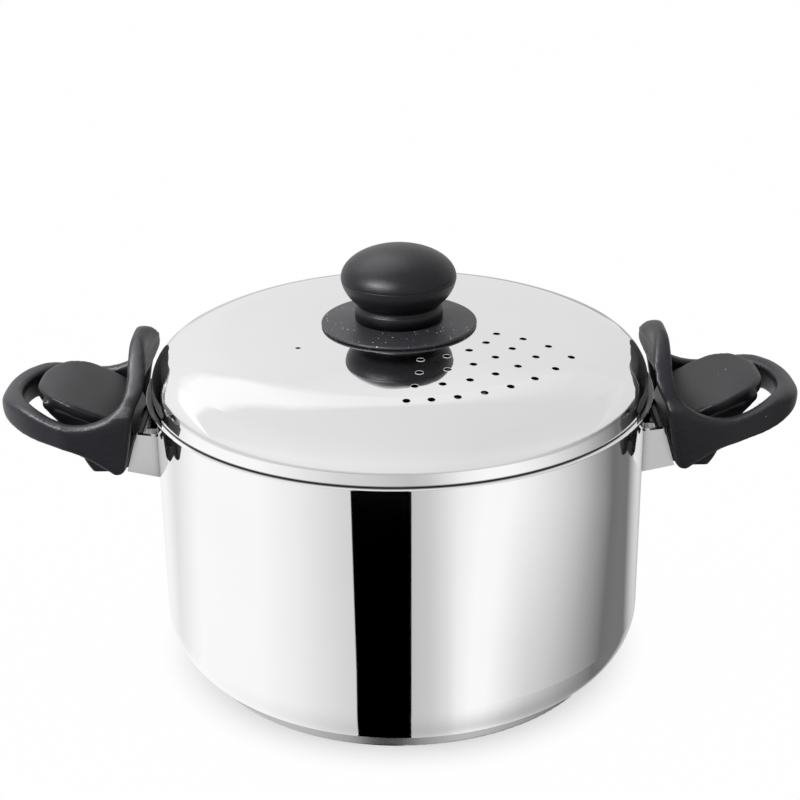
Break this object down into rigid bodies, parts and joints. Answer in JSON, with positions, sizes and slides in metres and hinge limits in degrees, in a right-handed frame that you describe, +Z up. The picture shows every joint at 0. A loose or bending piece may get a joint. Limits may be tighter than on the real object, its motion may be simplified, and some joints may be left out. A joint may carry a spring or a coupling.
{
  "type": "pasta pot",
  "caption": "Polished steel pot with a domed straining lid, a black knob and two black side handles whose hinged rings swing in over the lid's edge to hold it.",
  "frame": {"origin": "middle of the underside of the base", "axes": "+X towards the right-hand handle, +Y away from the viewer of the picture, +Z up"},
  "size_m": [0.3912, 0.2476, 0.2121],
  "materials": {
    "polished_steel": "stainless steel, mirror polished",
    "plain_steel": "stainless steel, plain",
    "base_aluminium": "plain, hidden in the base",
    "brass": "plain",
    "black_plastic": "black phenolic, satin with a fine grain"
  },
  "bodies": {
    "pot": {"pot_shell": "polished_steel", "base_core": "base_aluminium", "base_cap": "polished_steel", "left_bracket": "polished_steel", "left_weld_nut": "plain_steel", "left_pivot_pin": "plain_steel", "left_handle_core": "black_plastic", "left_handle_washer": "plain_steel", "left_handle_screw": "plain_steel", "right_bracket": "polished_steel", "right_weld_nut": "plain_steel", "right_pivot_pin": "plain_steel", "right_handle_core": "black_plastic", "right_handle_washer": "plain_steel", "right_handle_screw": "plain_steel"},
    "lid": {"lid_shell": "polished_steel", "knob_guard": "black_plastic", "knob_grip": "black_plastic", "knob_insert": "brass", "knob_washer": "plain_steel", "knob_screw": "plain_steel"},
    "left_lock": {"left_lock_ring": "black_plastic"},
    "right_lock": {"right_lock_ring": "black_plastic"}
  },
  "joints": [
    {"name": "lid_lift", "type": "slide", "parent": "pot", "child": "lid", "axis": [0, 0, 1], "range_m": [0, 0.06]},
    {"name": "left_lock_swing", "type": "hinge", "parent": "pot", "child": "left_lock", "pos_m": [-0.1395, 0, 0.1205], "axis": [0, 1, 0], "range_deg": [0, 6]},
    {"name": "right_lock_swing", "type": "hinge", "parent": "pot", "child": "right_lock", "pos_m": [0.1395, 0, 0.1205], "axis": [0, -1, 0], "range_deg": [0, 6]}
  ]
}
